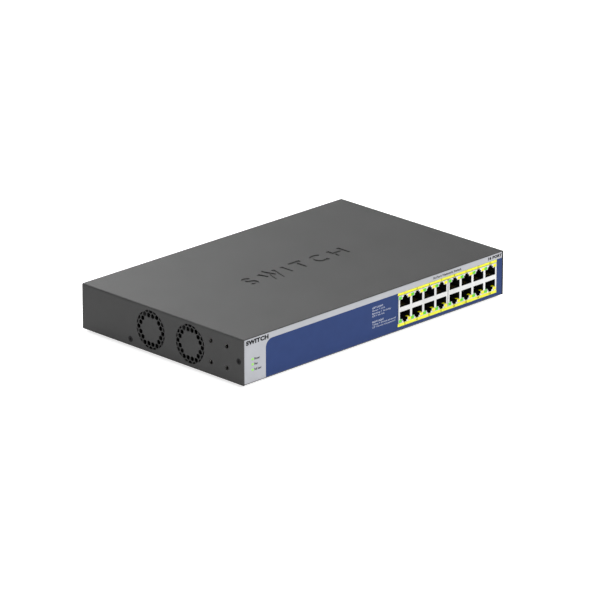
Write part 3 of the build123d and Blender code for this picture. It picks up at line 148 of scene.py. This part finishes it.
def surface(
    name,
    colour,
    roughness,
    vary=0.08,
    patch=60.0,
    grain=1500.0,
    grain_height=0.02 * MM,
    bump=0.3,
    metallic=0.0,
    stretch=EVEN,
    rough_vary=0.08,
    specular=0.5,
):
    """A surface with broad colour patches, varied gloss and a fine grain: its material and shader node."""
    material, tree, shader = new_material(name)
    patches = noise(tree, patch)
    stops = [(PATCH_LOW, tinted(colour, 1 - vary)), (PATCH_HIGH, tinted(colour, 1 + vary))]
    tree.links.new(ramp(tree, patches, stops), shader.inputs["Base Color"])
    fine = noise(tree, grain, detail=4.0, roughness=0.6, stretch=stretch)
    gloss = spread(tree, fine, roughness - rough_vary, roughness + rough_vary)
    tree.links.new(gloss, shader.inputs["Roughness"])
    add_bump(tree, shader, fine, bump, grain_height)
    shader.inputs["Metallic"].default_value = metallic
    shader.inputs["Specular IOR Level"].default_value = specular
    return material, shader


# ---------------------------------------------------------------- materials

COAT_GREY = (0.039, 0.039, 0.039)
LABEL_SILVER = (0.342, 0.350, 0.374)
LABEL_BLUE = (0.016, 0.036, 0.126)
LABEL_YELLOW = (0.70, 0.69, 0.045)
SPECKLE_DARK = (0.88, 0.88, 0.88)
SPECKLE_LIGHT = (1.1, 1.1, 1.1)
BRUSH = (0.04, 1.0, 1.0)  # stretches a grain along x, as brushing does
DRAWN = (8.0, 1.0, 1.0)  # turns a grain into rings round x, as turning does
WOUND = (1.0, 1.0, 6.0)


def powder_coat():
    """Fine orange-peel powder coat with a faint speckle."""
    material, tree, shader = new_material("powder_coat")
    patches = noise(tree, 25.0)
    speckle = noise(tree, 2600.0, detail=2.0)
    broad = ramp(tree, patches, [(NOISE_LOW, tinted(COAT_GREY, 0.94)), (NOISE_HIGH, tinted(COAT_GREY, 1.06))])
    dots = ramp(tree, speckle, [(0.42, SPECKLE_DARK), (0.62, SPECKLE_LIGHT)])
    mix = tree.nodes.new("ShaderNodeMix")
    mix.data_type = "RGBA"
    mix.blend_type = "MULTIPLY"
    mix.inputs["Factor"].default_value = 1.0
    tree.links.new(broad, mix.inputs["A"])
    tree.links.new(dots, mix.inputs["B"])
    tree.links.new(mix.outputs["Result"], shader.inputs["Base Color"])
    peel = noise(tree, 1400.0, detail=3.0, roughness=0.55)
    tree.links.new(spread(tree, peel, 0.46, 0.62), shader.inputs["Roughness"])
    add_bump(tree, shader, peel, 0.35, 0.03 * MM)
    shader.inputs["Specular IOR Level"].default_value = 0.26
    return material


def plain(name, colour, roughness, **options):
    """A surface's material alone."""
    return surface(name, colour, roughness, **options)[0]


def clear_lens(name, colour, glow):
    """Tinted clear plastic over a dim lit chip."""
    material, shader = surface(name, colour, 0.22, vary=0.05, grain=900.0, bump=0.1, specular=0.25)
    shader.inputs["Coat Weight"].default_value = 0.06
    shader.inputs["Coat Roughness"].default_value = 0.1
    shader.inputs["Emission Color"].default_value = (*colour, 1.0)
    shader.inputs["Emission Strength"].default_value = glow
    return material


def ink(name, colour):
    """Screen-printed ink on the label's film."""
    return plain(
        name,
        colour,
        0.5,
        vary=0.03,
        patch=120.0,
        grain=2200.0,
        grain_height=0.006 * MM,
        bump=0.25,
        specular=0.12,
    )


MATERIALS = {
    "powder_coat": powder_coat(),
    "label_silver": plain(
        "label_silver", LABEL_SILVER, 0.4, vary=0.03, grain=2400.0, grain_height=0.008 * MM, metallic=0.25
    ),
    "ink_blue": ink("ink_blue", LABEL_BLUE),
    "ink_yellow": ink("ink_yellow", LABEL_YELLOW),
    "ink_black": ink("ink_black", (0.012, 0.012, 0.014)),
    "ink_white": ink("ink_white", (0.50, 0.53, 0.60)),
    "rubber": plain("rubber", (0.018, 0.018, 0.018), 0.8, grain=1800.0, grain_height=0.04 * MM),
    "black_oxide": plain("black_oxide", (0.006, 0.006, 0.007), 0.5, specular=0.12),
    "zinc": plain("zinc", (0.62, 0.62, 0.58), 0.33, metallic=1.0, vary=0.12, patch=200.0),
    "black_sheet": plain("black_sheet", (0.005, 0.005, 0.005), 0.6, specular=0.15),
    "nickel": plain(
        "nickel", (0.52, 0.52, 0.518), 0.3, metallic=1.0, vary=0.05, patch=150.0, stretch=BRUSH, grain=900.0
    ),
    "gold": plain("gold", (0.66, 0.46, 0.16), 0.3, metallic=1.0, vary=0.05, patch=400.0),
    "black_plastic": plain("black_plastic", (0.008, 0.008, 0.009), 0.55, grain=1600.0, specular=0.25),
    "socket_black": plain("socket_black", (0.004, 0.004, 0.005), 0.5, grain=1600.0, specular=0.2),
    "white_plastic": plain("white_plastic", (0.72, 0.71, 0.66), 0.45),
    "chip": plain("chip", (0.018, 0.018, 0.019), 0.55, grain=3000.0),
    "ferrite": plain("ferrite", (0.03, 0.03, 0.033), 0.65, grain=2600.0, grain_height=0.04 * MM),
    "aluminium": plain("aluminium", (0.72, 0.72, 0.73), 0.34, metallic=1.0, stretch=BRUSH, grain=1100.0),
    "sleeve": plain("sleeve", (0.015, 0.016, 0.022), 0.3),
    "tape": plain("tape", (0.72, 0.5, 0.03), 0.32, vary=0.1, patch=300.0),
    "copper": plain("copper", (0.62, 0.22, 0.07), 0.28, metallic=0.9, stretch=WOUND),
    "steel": plain("steel", (0.56, 0.56, 0.57), 0.3, metallic=1.0, stretch=DRAWN),
    "bronze": plain("bronze", (0.42, 0.26, 0.1), 0.42, metallic=1.0, grain=2600.0),
    "yellow_case": plain("yellow_case", (0.7, 0.48, 0.03), 0.4),
    "film": plain("film", (0.02, 0.02, 0.021), 0.35),
    "board_tan": plain("board_tan", (0.42, 0.27, 0.1), 0.6, vary=0.12, patch=500.0),
    "board_green": plain("board_green", (0.008, 0.09, 0.03), 0.35, vary=0.15, patch=180.0),
    "red_wire": plain("red_wire", (0.45, 0.02, 0.02), 0.45),
    "green_lens": clear_lens("green_lens", (0.075, 0.40, 0.008), 0.35),
    "yellow_lens": clear_lens("yellow_lens", (0.60, 0.56, 0.003), 0.3),
    "status_lens": clear_lens("status_lens", (0.27, 0.60, 0.12), 0.12),
}

# ---------------------------------------------------------------- pieces made from the CAD's own shapes

MERGE = 0.002 * MM  # corners nearer than this become one
FLAT = radians(0.5)  # faces that meet at less than this become one
CREASE = radians(35.0)  # edges sharper than this are rounded
BEVEL_SEGMENTS = 2


def place(piece, node, material):
    """Links a piece, gives it its material, and rides it on the body of the node it stands for."""
    bpy.context.scene.collection.objects.link(piece)
    piece.data.materials.clear()
    piece.data.materials.append(MATERIALS[material])
    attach(piece, BODY_OF[node])
    return piece


def edged(node, material, width):
    """A node's shape with its flat faces joined and its edges rounded."""
    mesh = NODES[node].data.copy()
    mesh.name = node + "_shape"
    shape = bmesh.new()
    shape.from_mesh(mesh)
    bmesh.ops.remove_doubles(shape, verts=shape.verts, dist=MERGE)
    bmesh.ops.dissolve_limit(
        shape, angle_limit=FLAT, verts=shape.verts, edges=shape.edges, use_dissolve_boundaries=False
    )
    shape.to_mesh(mesh)
    shape.free()
    mesh.shade_smooth()
    mesh.set_sharp_from_angle(angle=CREASE)
    piece = place(bpy.data.objects.new(node + "_finish", mesh), node, material)
    bevel = piece.modifiers.new("edge", "BEVEL")
    bevel.width = width
    bevel.segments = BEVEL_SEGMENTS
    bevel.limit_method = "ANGLE"
    bevel.angle_limit = CREASE
    bevel.use_clamp_overlap = False
    flat = piece.modifiers.new("flat_faces", "WEIGHTED_NORMAL")
    flat.keep_sharp = True
    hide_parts(node)


# Each node's material, and the radius of its edges in millimetres.
FINISHES = {
    "top_cover": ("powder_coat", 0.12),
    "base_tray": ("powder_coat", 0.12),
    "rubber_feet": ("rubber", 0.3),
    "cover_screws": ("black_oxide", 0.08),
    "rack_nuts": ("zinc", 0.1),
    "ground_screw": ("zinc", 0.08),
    "rj45_shield_left": ("nickel", 0.06),
    "rj45_shield_right": ("nickel", 0.06),
    "rj45_housing_left": ("socket_black", 0.02),
    "rj45_housing_right": ("socket_black", 0.02),
    "rj45_contacts_left": ("gold", 0.04),
    "rj45_contacts_right": ("gold", 0.04),
    "port_leds_green": ("green_lens", 0.12),
    "port_leds_yellow": ("yellow_lens", 0.12),
    "status_leds": ("status_lens", 0.12),
    "led_holder": ("black_plastic", 0.12),
    "main_board": ("board_green", 0.08),
    "power_board": ("board_tan", 0.08),
    "insulation_sheet": ("film", 0.05),
    "board_standoffs": ("zinc", 0.12),
    "board_screws": ("zinc", 0.08),
    "switch_chip": ("chip", 0.12),
    "switch_heatsink": ("aluminium", 0.12),
    "phy_chips": ("chip", 0.12),
    "socket_power_chips": ("chip", 0.1),
    "lan_transformers": ("chip", 0.12),
    "board_capacitors": ("sleeve", 0.15),
    "board_inductors": ("ferrite", 0.15),
    "wire_headers": ("white_plastic", 0.15),
    "transformer_core": ("ferrite", 0.2),
    "transformer_winding": ("tape", 0.3),
    "bulk_capacitors": ("sleeve", 0.15),
    "output_capacitors": ("sleeve", 0.15),
    "power_heatsinks": ("aluminium", 0.12),
    "power_transistors": ("chip", 0.15),
    "filter_choke": ("copper", 0.1),
    "filter_capacitors": ("yellow_case", 0.3),
    "bridge_rectifier": ("chip", 0.2),
    "mains_fuse": ("white_plastic", 0.2),
    "ac_inlet_body": ("black_plastic", 0.2),
    "ac_inlet_pins": ("nickel", 0.15),
    "ac_inlet_screws": ("black_oxide", 0.06),
    "fan_bracket": ("black_sheet", 0.1),
    "front_fan_frame": ("black_plastic", 0.15),
    "rear_fan_frame": ("black_plastic", 0.15),
    "front_fan_rotor": ("black_plastic", 0.1),
    "rear_fan_rotor": ("black_plastic", 0.1),
    "front_fan_shaft": ("steel", 0.08),
    "rear_fan_shaft": ("steel", 0.08),
    "front_fan_magnet": ("ferrite", 0.1),
    "rear_fan_magnet": ("ferrite", 0.1),
    "fan_bearings": ("bronze", 0.08),
    "fan_stators": ("steel", 0.08),
    "fan_windings": ("copper", 0.12),
    "fan_screws": ("black_oxide", 0.08),
    "mains_wires": ("sleeve", 0.05),
    "dc_wires": ("red_wire", 0.05),
    "fan_leads": ("sleeve", 0.05),
}
for node, (material, width) in FINISHES.items():
    edged(node, material, width * MM)

# ---------------------------------------------------------------- front label

# Places on the label are millimetres from the case's left edge and from its top.
FILM_T = 0.26 * MM
FILM_EDGE = 0.05 * MM
FILM_CORNER = 0.8 * MM
INK_T = 0.02 * MM
FILM_FACE_Y = LABEL_HIGH.y - FILM_T
BLUE_FACE_Y = FILM_FACE_Y - INK_T
TOP_FACE_Y = BLUE_FACE_Y - INK_T
PRINT_MERGE = 0.0005 * MM

WINDOW_GAP = 0.2 * MM
PRINT_GAP = 0.35 * MM
WINDOW_CORNER = 0.3 * MM

STATUS_H = 2.0 * MM
STATUS_GAP = 0.1 * MM
STATUS_CORNER = 0.35 * MM
STATUS_LABEL_LEFT = 13.5
STATUS_LABEL_H = 2.0
STATUS_LIGHTS = (  # name, label, middle and label width
    ("power", "Power", 20.75, 6.6),
    ("fan", "Fan", 25.5, 3.8),
    ("load", "Full load", 30.5, 8.2),
)

BLUE_LEFT = 27.4
BLUE_TOP = 6.75
BLUE_INSET = 0.1 * MM
BLUE_CORNER = 7.7 * MM
BLUE_END_CORNER = 0.7 * MM

YELLOW_BARS = {"upper": (6.85, 9.3), "lower": (35.95, 38.7)}  # top and bottom
YELLOW_SPAN = (192.5, 321.5)

JACK_PITCH = 15.67
JACK_COLUMNS = 4
NUMBER_TOPS = (7.1, 36.35)
NUMBER_H = 1.95

LEGEND_LEFT = 160.0
LEGEND_H = 1.6
LEGEND = (  # middle, text, width and weight
    (12.5, "LEFT LIGHT", 13.5, 0.008),
    (15.0, "Green = Link", 16.0, -0.008),
    (17.75, "Blinking = Activity", 23.5, -0.008),
    (20.25, "Off = No link", 15.5, -0.008),
    (25.75, "RIGHT LIGHT", 14.5, 0.008),
    (28.25, "Yellow = Device powered", 29.7, -0.008),
    (30.75, "Off = Device not powered", 29.0, -0.008),
)

CAP_HEIGHT = 0.69  # of the built-in font at size 1
WEIGHT_SPACING = 1.6  # how much wider the letters stand for their weight


def across(u):
    """The x of a place u millimetres from the case's left edge."""
    return COVER_LOW.x + u * MM


def down(t):
    """The z of a place t millimetres under the case's top."""
    return COVER_HIGH.z - t * MM


def rounded_outline(low, high, radii, steps=8):
    """Corners of a box in x and z, with a radius for each corner from lower left, anticlockwise."""
    corners = [
        (low[0], low[1], 180),
        (high[0], low[1], 270),
        (high[0], high[1], 0),
        (low[0], high[1], 90),
    ]
    points = []
    for (x, z, start), radius in zip(corners, radii):
        if radius == 0:
            points.append((x, z))
            continue
        centre_x = x + radius if x == low[0] else x - radius
        centre_z = z + radius if z == low[1] else z - radius
        for step in range(steps + 1):
            turn = radians(start + 90 * step / steps)
            points.append((centre_x + radius * cos(turn), centre_z + radius * sin(turn)))
    return points


def socket_window(gap):
    """The outline of the opening round both socket blocks, a gap outside them."""
    return rounded_outline(
        (WINDOW_LOW.x - gap, WINDOW_LOW.z - gap),
        (WINDOW_HIGH.x + gap, WINDOW_HIGH.z + gap),
        [WINDOW_CORNER] * 4,
        steps=3,
    )


def join_and_face_out(mesh):
    """Joins a print's doubled corners and turns its faces outward."""
    shape = bmesh.new()
    shape.from_mesh(mesh)
    bmesh.ops.remove_doubles(shape, verts=shape.verts, dist=PRINT_MERGE)
    bmesh.ops.recalc_face_normals(shape, faces=shape.faces)
    shape.to_mesh(mesh)
    shape.free()


def sheet_piece(name, outlines, face_y, thickness, material, edge=0.0):
    """A flat sheet facing the front: the first outline is its edge and the others are holes in it."""
    curve = bpy.data.curves.new(name + "_outline", "CURVE")
    curve.dimensions = "2D"
    curve.fill_mode = "BOTH"
    curve.extrude = thickness / 2 - edge
    curve.bevel_depth = edge
    curve.bevel_resolution = 1
    curve.offset = -edge
    for outline in outlines:
        spline = curve.splines.new("POLY")
        spline.points.add(len(outline) - 1)
        for point, (x, z) in zip(spline.points, outline):
            point.co = (x, z, 0, 1)
        spline.use_cyclic_u = True
    flat = bpy.data.objects.new(name + "_flat", curve)
    mesh = bpy.data.meshes.new_from_object(flat)
    bpy.data.objects.remove(flat)
    for vertex in mesh.vertices:
        x, z, depth = vertex.co
        vertex.co = (x, face_y + thickness / 2 - depth, z)
    mesh.flip_normals()
    join_and_face_out(mesh)
    return place(bpy.data.objects.new(name, mesh), "front_label", material)


def lettering(name, text, left, top, height, width=None, weight=0.0, align="LEFT", material="ink_black"):
    """A line of small print: its place and top in millimetres on the front, cap height, and width."""
    curve = bpy.data.curves.new(name + "_text", "FONT")
    curve.body = text
    curve.size = 1.0
    curve.extrude = INK_T / 2
    curve.resolution_u = 4
    curve.offset = weight
    curve.space_character = 1.0 + WEIGHT_SPACING * weight
    flat = bpy.data.objects.new(name + "_flat", curve)
    bpy.context.scene.collection.objects.link(flat)
    bpy.context.view_layer.update()
    mesh = bpy.data.meshes.new_from_object(flat)
    bpy.data.objects.remove(flat)
    xs = [v.co.x for v in mesh.vertices]
    scale_y = height * MM / CAP_HEIGHT
    scale_x = width * MM / (max(xs) - min(xs)) if width else scale_y
    start = {"LEFT": min(xs), "CENTER": (min(xs) + max(xs)) / 2, "RIGHT": max(xs)}[align]
    for vertex in mesh.vertices:
        x, y, depth = vertex.co
        vertex.co = (
            across(left) + (x - start) * scale_x,
            BLUE_FACE_Y - INK_T / 2 - depth,
            down(top) - (CAP_HEIGHT - y) * scale_y,
        )
    join_and_face_out(mesh)
    place(bpy.data.objects.new(name, mesh), "front_label", material)


status_holes = [
    rounded_outline(
        (STATUS_LOW.x - STATUS_GAP, down(middle) - STATUS_H / 2 - STATUS_GAP),
        (STATUS_HIGH.x + STATUS_GAP, down(middle) + STATUS_H / 2 + STATUS_GAP),
        [STATUS_CORNER] * 4,
        steps=3,
    )
    for _, _, middle, _ in STATUS_LIGHTS
]
film_edge = rounded_outline((LABEL_LOW.x, LABEL_LOW.z), (LABEL_HIGH.x, LABEL_HIGH.z), [FILM_CORNER] * 4)
film = sheet_piece(
    "label_film",
    [film_edge, socket_window(WINDOW_GAP), *status_holes],
    FILM_FACE_Y,
    FILM_T,
    "label_silver",
    edge=FILM_EDGE,
)
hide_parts("front_label")

blue_edge = rounded_outline(
    (across(BLUE_LEFT), LABEL_LOW.z + BLUE_INSET),
    (LABEL_HIGH.x - BLUE_INSET, down(BLUE_TOP)),
    [0, BLUE_END_CORNER, 0, BLUE_CORNER],
    steps=16,
)
sheet_piece("label_blue_print", [blue_edge, socket_window(PRINT_GAP)], BLUE_FACE_Y, INK_T, "ink_blue")

for name, (top, bottom) in YELLOW_BARS.items():
    bar_low, bar_high = (across(YELLOW_SPAN[0]), down(bottom)), (across(YELLOW_SPAN[1]), down(top))
    bar = rounded_outline(bar_low, bar_high, [0] * 4)
    sheet_piece(f"label_yellow_{name}_bar", [bar], TOP_FACE_Y, INK_T, "ink_yellow")

columns = []
for side in ("left", "right"):
    low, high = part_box(f"rj45_contacts_{side}")
    block_middle = (low.x + high.x) / 2
    for column in range(JACK_COLUMNS):
        step = column - (JACK_COLUMNS - 1) / 2
        columns.append((block_middle - COVER_LOW.x) / MM + step * JACK_PITCH)
for index, u in enumerate(columns):
    for row, top in enumerate(NUMBER_TOPS, start=1):
        number = str(2 * index + row)
        lettering(f"port_number_{number}", number, u, top, NUMBER_H, weight=0.02, align="CENTER")

lettering("front_word", "SWITCH", 3.25, 2.75, 3.5, width=27.5, weight=0.07)
lettering("front_caption", "16-Port Network Switch", 238.0, 3.0, 2.0, width=36.5, weight=0.038)
lettering("front_port_count", "16 PORT", 328.0, 2.6, 2.3, width=18.0, weight=0.07, align="RIGHT")
for name, text, middle, width in STATUS_LIGHTS:
    top = middle - STATUS_LABEL_H / 2
    lettering(f"status_label_{name}", text, STATUS_LABEL_LEFT, top, STATUS_LABEL_H, width, weight=0.04)
for index, (middle, text, width, weight) in enumerate(LEGEND):
    name, top = f"legend_line_{index + 1}", middle - LEGEND_H / 2
    lettering(name, text, LEGEND_LEFT, top, LEGEND_H, width, weight, material="ink_white")

# ---------------------------------------------------------------- floor, lights and camera

FLOOR_HALF = 12.0
FLOOR_DARK = (0.60, 0.60, 0.60)
FLOOR_LIGHT = (0.63, 0.63, 0.63)
FLOOR_GLOW = 0.76
WORLD_STRENGTH = 0.1
WHITE = (1, 1, 1, 1)

FOOT_H = 2.0 * MM
CAMERA_AZIMUTH = -45.0
CAMERA_ELEVATION = 20.02
CAMERA_DISTANCE = 4.519
CAMERA_LENS = 300.6
CAMERA_AIM = (6.9 * MM, 0.0, 9.1 * MM + FOOT_H)

SOFTBOXES = {  # place, size and power
    "key": ((0.0, -2.8, 2.1), 1.8, 84.0),
    "top": ((0.4, 0.3, 2.3), 1.6, 56.0),
    "rear": ((0.9, 2.6, 1.3), 1.8, 66.0),
}


def floor():
    """A plain pale studio floor."""
    material, tree, shader = new_material("studio_floor")
    tones = ramp(tree, noise(tree, 0.6), [(NOISE_LOW, FLOOR_DARK), (NOISE_HIGH, FLOOR_LIGHT)])
    tree.links.new(tones, shader.inputs["Base Color"])
    shader.inputs["Roughness"].default_value = 0.9
    shader.inputs["Specular IOR Level"].default_value = 0.1
    shader.inputs["Emission Color"].default_value = WHITE
    shader.inputs["Emission Strength"].default_value = FLOOR_GLOW
    mesh = bpy.data.meshes.new("studio_floor")
    corners = [(x * FLOOR_HALF, y * FLOOR_HALF, 0) for x, y in ((-1, -1), (1, -1), (1, 1), (-1, 1))]
    mesh.from_pydata(corners, [], [(0, 1, 2, 3)])
    mesh.materials.append(material)
    piece = bpy.data.objects.new("studio_floor", mesh)
    bpy.context.scene.collection.objects.link(piece)
    piece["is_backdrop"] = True


def softbox(name, place_at, size, power):
    """A square softbox that faces the middle of the floor."""
    lamp = bpy.data.lights.new(name, "AREA")
    lamp.shape = "SQUARE"
    lamp.size = size
    lamp.energy = power
    light = bpy.data.objects.new(name, lamp)
    light.location = place_at
    light.rotation_euler = (Vector((0, 0, 0)) - Vector(place_at)).to_track_quat("-Z", "Y").to_euler()
    bpy.context.scene.collection.objects.link(light)


def camera():
    """A long-lens camera at the front left, a little above the case."""
    azimuth, elevation = radians(CAMERA_AZIMUTH), radians(CAMERA_ELEVATION)
    back = Vector((sin(azimuth) * cos(elevation), -cos(azimuth) * cos(elevation), sin(elevation)))
    data = bpy.data.cameras.new("camera")
    data.lens = CAMERA_LENS
    data.sensor_width = 36.0
    data.clip_end = 50.0
    view = bpy.data.objects.new("camera", data)
    view.location = Vector(CAMERA_AIM) + back * CAMERA_DISTANCE
    view.rotation_euler = back.to_track_quat("Z", "Y").to_euler()
    bpy.context.scene.collection.objects.link(view)
    bpy.context.scene.camera = view


camera()
floor()
for name, (place_at, size, power) in SOFTBOXES.items():
    softbox(name, place_at, size, power)
world = bpy.data.worlds.new("studio")
world.use_nodes = True
background = world.node_tree.nodes["Background"]
background.inputs["Color"].default_value = WHITE
background.inputs["Strength"].default_value = WORLD_STRENGTH
bpy.context.scene.world = world
bpy.context.scene.view_settings.view_transform = "Standard"

low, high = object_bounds()
